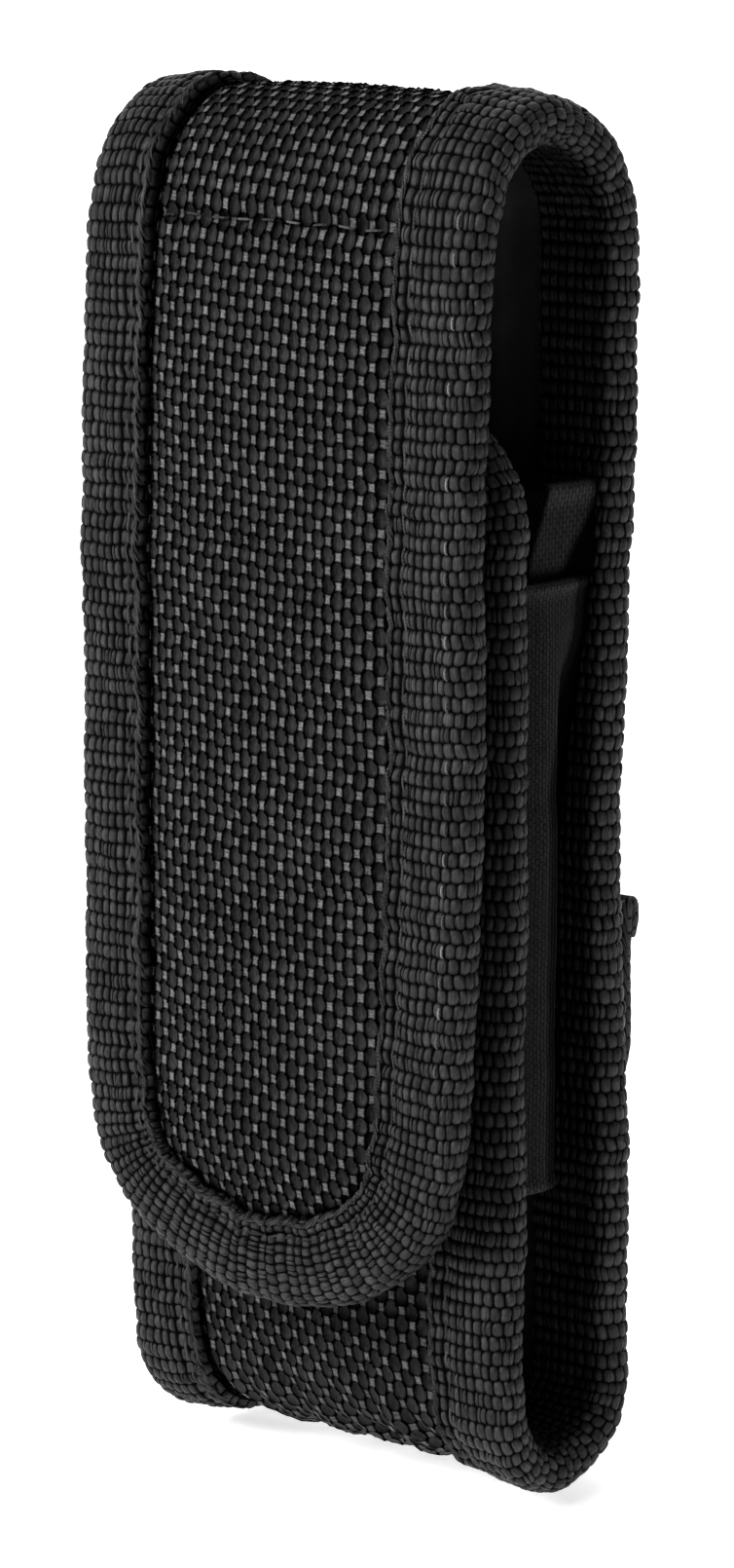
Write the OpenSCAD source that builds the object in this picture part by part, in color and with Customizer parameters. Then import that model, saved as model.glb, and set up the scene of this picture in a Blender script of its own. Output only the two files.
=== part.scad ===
// Belt sheath for a folding multi tool.
// One long padded strip is bound on every edge, folded into a flap, an arch, a back,
// a round bottom and a pocket front, and closed at the sides by two elastic gussets.
// +Z is up, -Y is the front with the flap, and Z = 0 is the lowest point of the round bottom.

/* [Overall] */
// Height from the round bottom to the top of the arch
height = 130; // [100:1:170]
// Width over the bound edges
width = 46; // [34:0.5:70]
// Distance between the middle planes of the back and the pocket front
pocket_depth = 16.2; // [12:0.1:40]
// Distance between the middle planes of the pocket front and the flap
flap_depth = 6.3; // [5.4:0.1:12]

/* [Padded strip] */
// Thickness of the woven outer cloth
cloth_t = 0.9; // [0.4:0.1:1.5]
// Thickness of the foam between the cloth and the lining
foam_t = 1.7; // [1:0.1:5]
// Thickness of the lining
lining_t = 0.6; // [0.3:0.1:1.2]
// Gap left at each fold line, so that the folded parts can swing
fold_gap = 0.3; // [0.15:0.05:0.6]

/* [Edge binding] */
// Thickness of the binding tape
tape_t = 0.7; // [0.4:0.1:1.2]
// Width of each face of the folded tape, from the rim to its inner edge
tape_face = 9; // [6:0.5:13]
// Depth of tape left outside the edge of the padded strip
rim_depth = 1.2; // [0.8:0.1:2]
// Radius of the flap's lower corners
flap_corner = 16; // [10:0.5:22]
// Radius of the pocket's upper corners
mouth_corner = 12; // [9.5:0.5:20]

/* [Flap and pocket] */
// Height of the flap's tip
flap_tip = 18; // [10:0.5:60]
// Height of the pocket's mouth
mouth = 103; // [70:0.5:112]
// Width of the hook and loop patches
patch_width = 26; // [16:0.5:27]
// Height of the hook and loop patches
patch_height = 30; // [15:0.5:50]
// Height of the lower edge of the patches
patch_low = 34; // [30:0.5:60]
// Height of the stitched line above the front fold
fold_line = 118.2; // [117.5:0.1:121]

/* [Gussets] */
// Height of the gusset's lower edge
gusset_low = 30; // [15:0.5:60]
// Height of the elastic band
gusset_height = 56.5; // [30:0.1:80]
// Thickness of the elastic
gusset_t = 1; // [0.5:0.1:1.5]
// How far the middle of the gusset is creased inward
gusset_crease = 2; // [0:0.1:4]
// Height of the lower edge of the inner facing
facing_low = 60; // [40:0.5:80]
// How far the inner facing stands above the gusset
facing_rise = 8.5; // [2:0.1:20]

/* [Belt loop] */
// Width of the belt webbing
strap_width = 32; // [25:0.5:38]
// Thickness of the belt webbing
strap_t = 1.3; // [1:0.1:2]
// Room between the strap and the back for the belt
belt_gap = 4.6; // [4.5:0.1:10]
// Height of the upper end of the strap
strap_top = 109; // [100:0.5:110]
// Height where the strap leaves the back
strap_sewn = 98.5; // [90:0.5:104]
// Height of the lower end of the strap
strap_low = 38; // [35:0.5:60]
// Height of the lower end of the closing tab
tab_low = 20; // [14:0.5:28]
// Height of the tab's fold
tab_fold = 31; // [26:0.5:34]
// Height of the tab's upper end
tab_top = 53.5; // [45:0.5:70]
// Thickness of the loop patch on the strap
strap_loop_t = 0.5; // [0.3:0.1:1]
// Thickness of the hook patch on the tab
tab_hook_t = 0.4; // [0.3:0.1:1]

/* [Stitches] */
// Thickness of the sewing thread
thread_d = 0.5; // [0.3:0.05:0.8]
// Length of one stitch
stitch_len = 2.4; // [1.5:0.1:4]
// Distance from one stitch to the next
stitch_pitch = 3.4; // [2.5:0.1:6]
// Distance of the stitches from the rim
stitch_in = 6.4; // [5:0.1:8]

/* [Hidden] */
$fn = 96;

core_t = cloth_t + foam_t + lining_t;
rim_r = core_t / 2 + tape_t;
core_half = width / 2 - rim_depth;

// Offsets of the layers from the strip's middle plane, outward positive.
lining_a = -core_t / 2;
foam_a = lining_a + lining_t;
cloth_a = foam_a + foam_t;
cloth_b = core_t / 2;

// Middle planes in Y before the whole part is centred.
y_back = pocket_depth / 2;
y_pocket = -pocket_depth / 2;
y_flap = y_pocket - flap_depth;

bend_r = pocket_depth / 2;
bend_z = bend_r + rim_r;
arch_r = (y_back - y_flap) / 2;
arch_y = (y_back + y_flap) / 2;
arch_z = height - arch_r - rim_r;

strap_in = y_back + rim_r + belt_gap;
strap_out = strap_in + strap_t;
tab_in = strap_out + strap_loop_t + 0.25 + tab_hook_t;
tab_out = tab_in + strap_t;
hem_t = 1.1;
hem_h = 4;

y_front_end = y_flap - rim_r - thread_d / 2;
y_back_end = tab_out + hem_t;
y_shift = -(y_front_end + y_back_end) / 2;

black_cloth = [0.075, 0.075, 0.085];
black_foam = [0.16, 0.16, 0.17];
black_lining = [0.04, 0.04, 0.045];
black_tape = [0.11, 0.11, 0.12];
black_elastic = [0.06, 0.06, 0.065];
black_web = [0.09, 0.09, 0.1];
black_patch = [0.05, 0.05, 0.055];
black_thread = [0.13, 0.13, 0.14];

// Every piece is drawn before centring, then moved by the same amount in Y.
module place() {
  translate([0, y_shift, 0]) children();
}

// Section drawn in Y and Z, made length long in X and centred on X = 0.
module along_x(length) {
  translate([-length / 2, 0, 0]) rotate([90, 0, 90]) linear_extrude(length) children();
}

// Outline drawn in X and Z, made thick from the offset a to the offset b in front of y.
module facing_front(y, a, b) {
  translate([0, y - a, 0]) rotate([90, 0, 0]) linear_extrude(b - a) children();
}

// Section of the binding: x runs inward from the rim, y is across the thickness.
module tape_section() {
  difference() {
    union() {
      translate([rim_r, 0]) circle(rim_r);
      translate([rim_r, -rim_r]) square([tape_face - rim_r, 2 * rim_r]);
    }
    translate([rim_depth, -core_t / 2]) square([tape_face, core_t]);
  }
}

// Half ring from +Y over +Z to -Y, between two radii.
module half_ring(r_in, r_out) {
  difference() {
    circle(r_out);
    circle(r_in);
    translate([-r_out - 1, -2 * r_out]) square([2 * r_out + 2, 2 * r_out]);
  }
}

// Right-hand binding swept along a half circle of radius r about the X axis.
module tape_half_turn(r) {
  rotate([90, 0, 90]) rotate_extrude(angle = 180) {
    translate([r, width / 2]) rotate(-90) tape_section();
  }
}

// U-shaped outline with rounded lower corners and its tip at zero height.
module u_shape(length, corner, inset) {
  half = width / 2 - inset;
  r = corner - inset;
  translate([-half, inset + r]) square([2 * half, length - inset - r]);
  translate([-half + r, inset]) square([2 * (half - r), r + 0.5]);
  for (side = [-1, 1]) {
    translate([side * (half - r), inset + r]) circle(r);
  }
}

// Binding that follows the U-shaped outline.
module u_tape(length, corner) {
  for (side = [0, 1]) {
    mirror([side, 0, 0]) {
      translate([0, 0, corner]) linear_extrude(length - corner) {
        translate([width / 2, 0]) mirror([1, 0]) tape_section();
      }
      translate([width / 2 - corner, 0, corner]) rotate([90, 0, 0]) rotate([0, 0, 270]) {
        rotate_extrude(angle = 90) translate([corner, 0]) mirror([1, 0]) tape_section();
      }
    }
  }
  along_x(width - 2 * corner) mirror([1, -1]) tape_section();
}

// One stitch centred on the origin and lying along Z.
module stitch() {
  translate([0, 0, -stitch_len / 2]) cylinder(d = thread_d, h = stitch_len, $fn = 24);
}

// Stitches on a straight line from z0 to z1.
module stitch_line(z0, z1) {
  count = floor((z1 - z0) / stitch_pitch);
  start = ((z1 - z0) - (count - 1) * stitch_pitch) / 2;
  for (i = [0 : count - 1]) {
    translate([0, 0, z0 + start + i * stitch_pitch]) stitch();
  }
}

// Stitches on a half turn about X, from +Y over +Z to -Y, pulled into a face of radius r_face.
module stitch_half_turn(r_face) {
  r = r_face - thread_d / 2 - 0.08;
  count = floor(PI * r / stitch_pitch);
  for (i = [0 : count - 1]) {
    rotate([(i + 0.5) * 180 / count, 0, 0]) translate([0, r, 0]) stitch();
  }
}

// Stitches that follow a U-shaped outline, on the face in front of y.
module stitch_u(length, corner) {
  r = corner - stitch_in;
  half = width / 2 - stitch_in;
  turns = floor(PI / 2 * r / stitch_pitch);
  for (side = [-1, 1]) {
    translate([side * half, 0, 0]) stitch_line(corner, length);
    for (i = [0 : turns - 1]) {
      angle = (i + 0.5) * 90 / turns;
      translate([side * (half - r), 0, corner]) rotate([0, side * (90 + angle), 0]) {
        translate([0, 0, r]) rotate([0, 90, 0]) stitch();
      }
    }
  }
  translate([0, 0, stitch_in]) rotate([0, 90, 0]) stitch_line(-(half - r), half - r);
}

// Box of stitches with a cross in it, on a face at y.
module stitch_box(half, z0, z1) {
  mid = (z0 + z1) / 2;
  reach = norm([2 * half, z1 - z0]) / 2 - 1.6;
  lean = atan2(2 * half, z1 - z0);
  for (side = [-1, 1]) {
    translate([side * half, 0, 0]) stitch_line(z0, z1);
    translate([0, 0, side > 0 ? z1 : z0]) rotate([0, 90, 0]) stitch_line(-half + 1, half - 1);
  }
  for (side = [-1, 1]) {
    for (part = [-1, 1]) {
      translate([0, 0, mid]) rotate([0, side * lean, 0]) {
        stitch_line(part > 0 ? 1.5 : -reach, part > 0 ? reach : -1.5);
      }
    }
  }
}

// Section of one layer of the back and the round bottom.
module back_layer(a, b) {
  translate([y_back + a, bend_z]) square([b - a, arch_z - fold_gap - bend_z]);
  translate([0, bend_z]) mirror([0, 1]) half_ring(bend_r + a, bend_r + b);
}

// Section of one layer of the arch.
module arch_layer(a, b) {
  translate([arch_y, arch_z]) half_ring(arch_r + a, arch_r + b);
}

// Outline of the flap's padding.
module flap_core() {
  translate([0, flap_tip]) {
    u_shape(arch_z - fold_gap - flap_tip, flap_corner, rim_depth);
  }
}

// Outline of the pocket front's padding.
module pocket_core() {
  translate([0, mouth]) mirror([0, 1]) {
    u_shape(mouth - bend_z - fold_gap, mouth_corner, rim_depth);
  }
}

// Section of a creased band seen from above, at the right side.
module creased(x, t) {
  y = y_back - rim_r;
  polygon([
    [x, -y], [x - gusset_crease, 0], [x, y],
    [x - t, y], [x - gusset_crease - t, 0], [x - t, -y]
  ]);
}

module back_outer() {
  color(black_cloth) place() along_x(2 * core_half) back_layer(cloth_a, cloth_b);
}

module back_foam() {
  color(black_foam) place() along_x(2 * core_half) back_layer(foam_a, cloth_a);
}

module back_lining() {
  color(black_lining) place() along_x(2 * core_half) back_layer(lining_a, foam_a);
}

module back_tape() {
  translate([0, y_back, bend_z]) linear_extrude(arch_z - fold_gap - bend_z) {
    translate([width / 2, 0]) mirror([1, 0]) tape_section();
  }
  translate([0, 0, bend_z]) mirror([0, 0, 1]) tape_half_turn(bend_r);
}

module back_tape_right() {
  color(black_tape) place() back_tape();
}

module back_tape_left() {
  color(black_tape) place() mirror([1, 0, 0]) back_tape();
}

module back_stitches() {
  color(black_thread) place() for (side = [-1, 1]) {
    translate([side * (width / 2 - stitch_in), 0, 0]) {
      translate([0, y_back + rim_r, 0]) stitch_line(bend_z, arch_z - fold_gap);
      translate([0, 0, bend_z]) mirror([0, 0, 1]) stitch_half_turn(bend_r + rim_r);
    }
  }
}

module gusset_right() {
  color(black_elastic) place() translate([0, 0, gusset_low]) {
    linear_extrude(gusset_height) creased(width / 2 - 2.7, gusset_t);
  }
}

module gusset_left() {
  mirror([1, 0, 0]) gusset_right();
}

module facing_right() {
  color(black_elastic) place() translate([0, 0, facing_low]) {
    linear_extrude(gusset_low + gusset_height + facing_rise - facing_low) {
      creased(width / 2 - 4, gusset_t);
    }
  }
}

module facing_left() {
  mirror([1, 0, 0]) facing_right();
}

module belt_strap() {
  y0 = y_back + rim_r;
  color(black_web) place() along_x(strap_width) polygon([
    [y0, strap_top], [y0 + strap_t, strap_top],
    [y0 + strap_t, strap_sewn], [strap_out, strap_sewn - 5.5],
    [strap_out, strap_low], [strap_in, strap_low],
    [strap_in, strap_sewn - 6.2], [y0, strap_sewn - 0.7]
  ]);
}

module strap_loop_patch() {
  color(black_patch) place() {
    translate([-strap_width / 2 + 1.5, strap_out, strap_low + 0.5]) {
      cube([strap_width - 3, strap_loop_t, tab_top - strap_low - 1]);
    }
  }
}

module strap_stitches() {
  color(black_thread) place() translate([0, y_back + rim_r + strap_t, 0]) {
    stitch_box(strap_width / 2 - 2, strap_sewn + 1.4, strap_top - 1.2);
  }
}

module tab_base() {
  color(black_web) place() {
    translate([-strap_width / 2, y_back + rim_r, tab_low]) {
      cube([strap_width, strap_t, tab_fold - tab_low]);
    }
  }
}

module tab_base_stitches() {
  color(black_thread) place() translate([0, y_back + rim_r + strap_t, 0]) {
    stitch_box(strap_width / 2 - 2, tab_low + 1.2, tab_fold - 1.6);
  }
}

module pocket_outer() {
  color(black_cloth) place() facing_front(y_pocket, cloth_a, cloth_b) pocket_core();
}

module pocket_foam() {
  color(black_foam) place() facing_front(y_pocket, foam_a, cloth_a) pocket_core();
}

module pocket_lining() {
  color(black_lining) place() facing_front(y_pocket, lining_a, foam_a) pocket_core();
}

module pocket_tape() {
  color(black_tape) place() translate([0, y_pocket, mouth]) mirror([0, 0, 1]) {
    u_tape(mouth - bend_z - fold_gap, mouth_corner);
  }
}

module pocket_loop_patch() {
  color(black_patch) place() {
    translate([-patch_width / 2, y_pocket - core_t / 2 - 1.4, patch_low]) {
      cube([patch_width, 1.4, patch_height]);
    }
  }
}

module pocket_stitches() {
  color(black_thread) place() translate([0, y_pocket - rim_r, mouth]) mirror([0, 0, 1]) {
    stitch_u(mouth - bend_z - fold_gap, mouth_corner);
  }
}

module arch_outer() {
  color(black_cloth) place() along_x(2 * core_half) arch_layer(cloth_a, cloth_b);
}

module arch_foam() {
  color(black_foam) place() along_x(2 * core_half) arch_layer(foam_a, cloth_a);
}

module arch_lining() {
  color(black_lining) place() along_x(2 * core_half) arch_layer(lining_a, foam_a);
}

module arch_tape_right() {
  color(black_tape) place() translate([0, arch_y, arch_z]) tape_half_turn(arch_r);
}

module arch_tape_left() {
  mirror([1, 0, 0]) arch_tape_right();
}

module arch_stitches() {
  color(black_thread) place() for (side = [-1, 1]) {
    translate([side * (width / 2 - stitch_in), arch_y, arch_z]) {
      stitch_half_turn(arch_r + rim_r);
    }
  }
}

module fold_stitches() {
  r = arch_r + core_t / 2;
  rise = asin((fold_line - arch_z) / r);
  color(black_thread) place() translate([0, arch_y, arch_z]) rotate([-rise, 0, 0]) {
    translate([0, -r, 0]) rotate([0, 90, 0]) {
      stitch_line(-(width / 2 - tape_face), width / 2 - tape_face);
    }
  }
}

module flap_outer() {
  color(black_cloth) place() facing_front(y_flap, cloth_a, cloth_b) flap_core();
}

module flap_foam() {
  color(black_foam) place() facing_front(y_flap, foam_a, cloth_a) flap_core();
}

module flap_lining() {
  color(black_lining) place() facing_front(y_flap, lining_a, foam_a) flap_core();
}

module flap_tape() {
  color(black_tape) place() translate([0, y_flap, flap_tip]) {
    u_tape(arch_z - fold_gap - flap_tip, flap_corner);
  }
}

module flap_hook_patch() {
  color(black_patch) place() {
    translate([-patch_width / 2, y_flap + core_t / 2, patch_low]) {
      cube([patch_width, 1.2, patch_height]);
    }
  }
}

module flap_stitches() {
  color(black_thread) place() translate([0, y_flap - rim_r, flap_tip]) {
    stitch_u(arch_z - fold_gap - flap_tip, flap_corner);
  }
}

module belt_tab() {
  y0 = y_back + rim_r;
  z0 = tab_fold + fold_gap;
  color(black_web) place() along_x(strap_width) polygon([
    [y0, z0], [y0 + strap_t, z0], [tab_out, z0 + 5.5], [tab_out, tab_top - hem_h],
    [y_back_end, tab_top - hem_h], [y_back_end, tab_top], [tab_in, tab_top],
    [tab_in, z0 + 6.2], [y0, z0 + 0.6]
  ]);
}

module tab_hook_patch() {
  color(black_patch) place() {
    translate([-strap_width / 2 + 1.5, tab_in - tab_hook_t, strap_low + 0.5]) {
      cube([strap_width - 3, tab_hook_t, tab_top - strap_low - 1]);
    }
  }
}

module tab_hem_stitches() {
  color(black_thread) place() {
    translate([0, tab_out, tab_top - hem_h - 1]) rotate([0, 90, 0]) {
      stitch_line(-strap_width / 2 + 1.5, strap_width / 2 - 1.5);
    }
  }
}

back_outer();
back_foam();
back_lining();
back_tape_left();
back_tape_right();
back_stitches();
gusset_left();
gusset_right();
facing_left();
facing_right();
belt_strap();
strap_loop_patch();
strap_stitches();
tab_base();
tab_base_stitches();
pocket_outer();
pocket_foam();
pocket_lining();
pocket_tape();
pocket_loop_patch();
pocket_stitches();
arch_outer();
arch_foam();
arch_lining();
arch_tape_left();
arch_tape_right();
arch_stitches();
fold_stitches();
flap_outer();
flap_foam();
flap_lining();
flap_tape();
flap_hook_patch();
flap_stitches();
belt_tab();
tab_hook_patch();
tab_hem_stitches();
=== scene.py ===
"""Bound and padded nylon belt sheath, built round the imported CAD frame. Lengths inside are in mm."""
import math
from functools import partialmethod

import bpy
import numpy as np
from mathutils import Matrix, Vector


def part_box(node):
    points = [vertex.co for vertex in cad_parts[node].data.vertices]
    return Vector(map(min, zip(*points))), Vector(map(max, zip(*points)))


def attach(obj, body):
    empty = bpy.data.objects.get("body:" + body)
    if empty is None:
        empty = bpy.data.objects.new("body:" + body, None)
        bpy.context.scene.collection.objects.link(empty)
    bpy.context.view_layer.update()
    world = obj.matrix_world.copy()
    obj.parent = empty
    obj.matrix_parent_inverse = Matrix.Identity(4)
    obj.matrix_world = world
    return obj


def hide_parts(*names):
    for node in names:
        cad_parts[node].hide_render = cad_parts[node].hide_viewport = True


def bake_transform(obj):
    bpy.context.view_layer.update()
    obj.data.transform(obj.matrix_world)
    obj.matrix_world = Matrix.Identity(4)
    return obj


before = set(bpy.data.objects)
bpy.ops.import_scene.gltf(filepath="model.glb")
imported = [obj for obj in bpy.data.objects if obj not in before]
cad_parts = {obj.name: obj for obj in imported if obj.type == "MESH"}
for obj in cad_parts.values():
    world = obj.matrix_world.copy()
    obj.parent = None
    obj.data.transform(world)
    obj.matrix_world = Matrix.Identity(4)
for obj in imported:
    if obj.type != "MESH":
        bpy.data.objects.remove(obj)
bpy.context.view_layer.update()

PI = math.pi


# ---- measures from the frame
def box_mm(node):
    low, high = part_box(node)
    return np.array(low) * 1000, np.array(high) * 1000


flap_low, flap_high = box_mm("flap_tape")
pocket_low, pocket_high = box_mm("pocket_tape")
_, back_high = box_mm("back_tape_right")
arch_low, arch_high = box_mm("arch_tape_right")
cloth_low, _ = box_mm("flap_outer")
gusset_low, gusset_high = box_mm("gusset_right")
facing_low, facing_high = box_mm("facing_right")

HALF_W = flap_high[0]                       # half the strip's width
RIM = (flap_high[1] - flap_low[1]) / 2      # radius of the bound edge
Y_FLAP = (flap_high[1] + flap_low[1]) / 2
Y_POCKET = (pocket_high[1] + pocket_low[1]) / 2
Y_BACK = back_high[1] - RIM
TOP = arch_high[2]
FACE = arch_high[0] - arch_low[0]           # width of the binding on a face
TIP = flap_low[2]
MOUTH = pocket_high[2]
CORE = Y_FLAP - cloth_low[1]                # from the strip's middle plane to the cloth's face

ARCH_R = (Y_BACK - Y_FLAP) / 2
ARCH_Y = (Y_BACK + Y_FLAP) / 2
ARCH_Z = TOP - ARCH_R - RIM
BEND_R = (Y_BACK - Y_POCKET) / 2
BEND_Y = (Y_BACK + Y_POCKET) / 2
BEND_Z = BEND_R + RIM

# Stations along the strip, from the flap's tip over the arch and round the bottom to the mouth.
P_ARCH = ARCH_Z
P_BACK = P_ARCH + PI * ARCH_R
P_BEND = P_BACK + ARCH_Z - BEND_Z
P_POCKET = P_BEND + PI * BEND_R
P_MOUTH = P_POCKET + MOUTH - BEND_Z
P_TOP = (P_ARCH + P_BACK) / 2
P_LOW = (P_BEND + P_POCKET) / 2

RIB_PITCH = 1.4    # nominal pitch of the binding's ribs
CLOTH_X = 1.055    # width of one warp column of the cloth
CLOTH_P = 1.33     # height of one weft row of the cloth
SKEW = 0.052       # slope of the weft rows
LEAN = 1.15        # how far the flap leans back below the arch
WAIST = 0.9        # how far the elastic draws the back's edges forward
WAIST_Z = 62       # height at which it draws them most
DRAWN_UP = 2.5     # how far the bottom is drawn up between its two bindings
TUCK = 0.45        # how far the flap's tip is tucked towards the pocket
TUCK_FROM = 34     # station where that begins


# ---- small maths
def step(x, a, b):
    t = np.clip((x - a) / (b - a), 0, 1)
    return t * t * (3 - 2 * t)


def between(x, a, b, c, d):
    """1 from b to c, easing to 0 at a and at d."""
    return step(x, a, b) * (1 - step(x, c, d))


def bell(x, mid, width):
    return np.exp(-(((x - mid) / width) ** 2))


def wave(x, seed, period):
    """Smooth repeatable wobble between about -1 and 1."""
    r = np.random.default_rng(seed)
    total = 0
    for k in range(4):
        f = 2 * PI / (period * (0.62 + 0.31 * k) * r.uniform(0.85, 1.15))
        total = total + np.sin(x * f + r.uniform(0, 2 * PI)) * (1.0 - 0.15 * k)
    return total / 2.2


def hash01(a, b, seed=0):
    """Repeatable random number from 0 to 1 for each pair of whole numbers."""
    v = np.sin(a * 127.1 + b * 311.7 + seed * 74.7) * 43758.5453
    return v - np.floor(v)


def spline(points, spacing):
    """Smooth curve through the points, resampled at an even spacing."""
    p = np.array(points, float)
    ext = np.vstack([2 * p[0] - p[1], p, 2 * p[-1] - p[-2]])
    out = []
    for i in range(1, len(ext) - 2):
        a, b, c, d = ext[i - 1], ext[i], ext[i + 1], ext[i + 2]
        t = np.linspace(0, 1, 40, endpoint=False)[:, None]
        out.append(0.5 * (2 * b + (c - a) * t + (2 * a - 5 * b + 4 * c - d) * t ** 2
                          + (3 * b - a - 3 * c + d) * t ** 3))
    return resample(np.vstack(out + [p[-1:]]), spacing)


def lengths(q):
    """Length along a line at each of its points."""
    return np.concatenate([[0], np.cumsum(np.linalg.norm(np.diff(q, axis=0), axis=1))])


def smoothed(q, times):
    """Evens a line out between its ends."""
    for _ in range(times):
        q[1:-1] = (q[:-2] + 2 * q[1:-1] + q[2:]) / 4
    return q


def sideways(d):
    """Unit normals to the left of the directions d."""
    d = d / np.linalg.norm(d, axis=1)[:, None]
    return np.stack([-d[:, 1], d[:, 0]], 1)


def resample(q, spacing):
    s = lengths(q)
    n = max(2, int(round(s[-1] / spacing)) + 1)
    t = np.linspace(0, s[-1], n)
    return np.stack([np.interp(t, s, q[:, k]) for k in range(q.shape[1])], 1)


# ---- the folded strip
def strip(x, p, v):
    """Point of the folded strip: x across, p along it, v outward from its middle plane."""
    x, p, v = np.broadcast_arrays(np.asarray(x, float), np.asarray(p, float), np.asarray(v, float))
    a = np.clip(p - P_ARCH, 0, PI * ARCH_R) / ARCH_R
    b = np.clip(p - P_BEND, 0, PI * BEND_R) / BEND_R
    y = np.full(p.shape, Y_FLAP)
    z = p.copy()
    ny, nz = np.full(p.shape, -1.0), np.zeros(p.shape)
    for low, high, values in (
        (P_ARCH, P_BACK, (ARCH_Y - ARCH_R * np.cos(a), ARCH_Z + ARCH_R * np.sin(a), -np.cos(a), np.sin(a))),
        (P_BACK, P_BEND, (Y_BACK, ARCH_Z - (p - P_BACK), 1.0, 0.0)),
        (P_BEND, P_POCKET, (BEND_Y + BEND_R * np.cos(b), BEND_Z - BEND_R * np.sin(b), np.cos(b), -np.sin(b))),
        (P_POCKET, 1e9, (Y_POCKET, BEND_Z + (p - P_POCKET), -1.0, 0.0)),
    ):
        here = (p >= low) & (p < high)
        y, z, ny, nz = [np.where(here, new, old) for new, old in zip(values, (y, z, ny, nz))]
    edge = (np.abs(x) / HALF_W) ** 2
    # the flap leans back a little below the arch
    lean = LEAN * between(p, P_ARCH - 22, P_ARCH + 2, P_ARCH + 4, P_TOP)
    # the elastic draws the back's edges in and forward
    drawn = bell(z, WAIST_Z, 24) * between(p, P_BACK - 4, P_BACK + 18, P_BEND - 18, P_BEND + 2)
    v = v - WAIST * drawn * edge
    x = x * (1 - 0.035 * drawn * edge)
    # the bottom is drawn up between its two bindings
    drawn_up = between(p, P_BEND - 2, P_BEND + 10, P_POCKET - 8, P_POCKET + 10)
    v = v - drawn_up * (DRAWN_UP * (1 - edge) + 0.35 + 0.25 * (x < 0) * edge)
    # the flap's tip follows the pocket front
    tuck = TUCK * step(-p, -TUCK_FROM, -TIP)
    # slow unevenness of sewn padding
    sway = 0.16 * wave(p, 11, 41) + 0.10 * wave(p + 3 * x, 12, 19)
    x = x + 0.16 * wave(p, 13, 33) * edge
    v = v + sway * 0.6
    return np.stack([x, y + ny * v + lean + tuck, z + nz * v], -1)


# Outline of the flap's tip, x and p, right and left of its lowest point, for a strip of half width
# OUTLINE_W. The sewn tip is a little uneven.
OUTLINE_W, OUTLINE_LOW = 23.0, 18.25
TIP_RIGHT = [(0, 18.25), (5.2, 18.9), (10.4, 20.7), (14.4, 23.0), (17.3, 25.8), (19.5, 29.4),
             (20.9, 34.0), (21.7, 40.5), (22.2, 48.0), (22.65, 57.0), (23, 67), (23, 80)]
TIP_LEFT = [(0, 18.25), (-5.0, 18.7), (-10.0, 20.2), (-14.3, 22.3), (-17.8, 24.7), (-20.3, 27.6),
            (-21.9, 31.3), (-22.7, 36.5), (-23, 44), (-23, 60), (-23, 80)]
MOUTH_R = 12.0      # radius of the pocket mouth's corners
FINE = 0.05         # spacing of points on an outline


def boundary(side):
    """Rim of the strip on one side, from the middle of the flap's tip to the middle of the mouth."""
    tip = TIP_RIGHT if side > 0 else TIP_LEFT
    scale = HALF_W / OUTLINE_W
    a = spline([(x * scale, p - OUTLINE_LOW + TIP) for x, p in tip], FINE)
    turn = np.linspace(0, PI / 2, 60)
    b = np.stack([side * (HALF_W - MOUTH_R + MOUTH_R * np.cos(turn)),
                  P_MOUTH - MOUTH_R + MOUTH_R * np.sin(turn)], 1)
    line = np.stack([np.full(400, side * HALF_W), np.linspace(a[-1, 1], b[0, 1], 402)[1:-1]], 1)
    end = np.stack([np.linspace(b[-1, 0], 0, 40)[1:], np.full(39, P_MOUTH)], 1)
    return resample(np.vstack([a, line, b, end]), FINE)


RIMS = {side: boundary(side) for side in (1, -1)}
RIM_T = {side: np.arange(len(c)) * np.linalg.norm(c[1] - c[0]) for side, c in RIMS.items()}
FAR_R, FAR_L = RIM_T[1][-1], RIM_T[-1][-1]
ROUND = FAR_R + FAR_L
RIB = ROUND / (2 * round(ROUND / RIB_PITCH / 2))        # a whole and even number of ribs all round


def rim_at(side, p):
    """Length along a rim where it passes station p on its straight run."""
    c, t = RIMS[side], RIM_T[side]
    ok = np.abs(c[:, 0]) > HALF_W * 0.995
    return float(np.interp(p, c[ok, 1], t[ok]))


def rim_run(t0, t1, per_rib):
    """Lengths, points and inward normals of the rim from t0 to t1; left of the tip t is negative."""
    n = int(round((t1 - t0) / RIB * per_rib))
    t = np.linspace(t0, t1, n + 1)
    pts = np.zeros((len(t), 2))
    for k in range(2):
        right = np.interp(t, RIM_T[1], RIMS[1][:, k])
        left = np.interp(-t, RIM_T[-1], RIMS[-1][:, k])
        over = np.interp(ROUND - t, RIM_T[-1], RIMS[-1][:, k])
        pts[:, k] = np.where(t < 0, left, np.where(t > FAR_R, over, right))
    return t, pts, sideways(smoothed(np.gradient(pts, axis=0), 3))


# ---- meshes
def linked(name, data):
    ob = bpy.data.objects.new(name, data)
    bpy.context.scene.collection.objects.link(ob)
    return ob


def mesh_object(name, verts, faces, wv=None):
    """Mesh from points in mm and an array of quads or triangles."""
    me = bpy.data.meshes.new(name)
    verts = np.asarray(verts, float).reshape(-1, 3) * 0.001
    faces = np.asarray(faces, np.int32)
    me.vertices.add(len(verts))
    me.vertices.foreach_set("co", verts.astype(np.float32).ravel())
    k = faces.shape[1]
    me.loops.add(faces.size)
    me.loops.foreach_set("vertex_index", faces.ravel())
    me.polygons.add(len(faces))
    me.polygons.foreach_set("loop_start", np.arange(len(faces), dtype=np.int32) * k)
    me.update()
    me.shade_smooth()
    if wv is not None:
        attribute = me.attributes.new("wv", "FLOAT_VECTOR", "POINT")
        attribute.data.foreach_set("vector", np.asarray(wv, np.float32).ravel())
    return linked(name, me)


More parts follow.
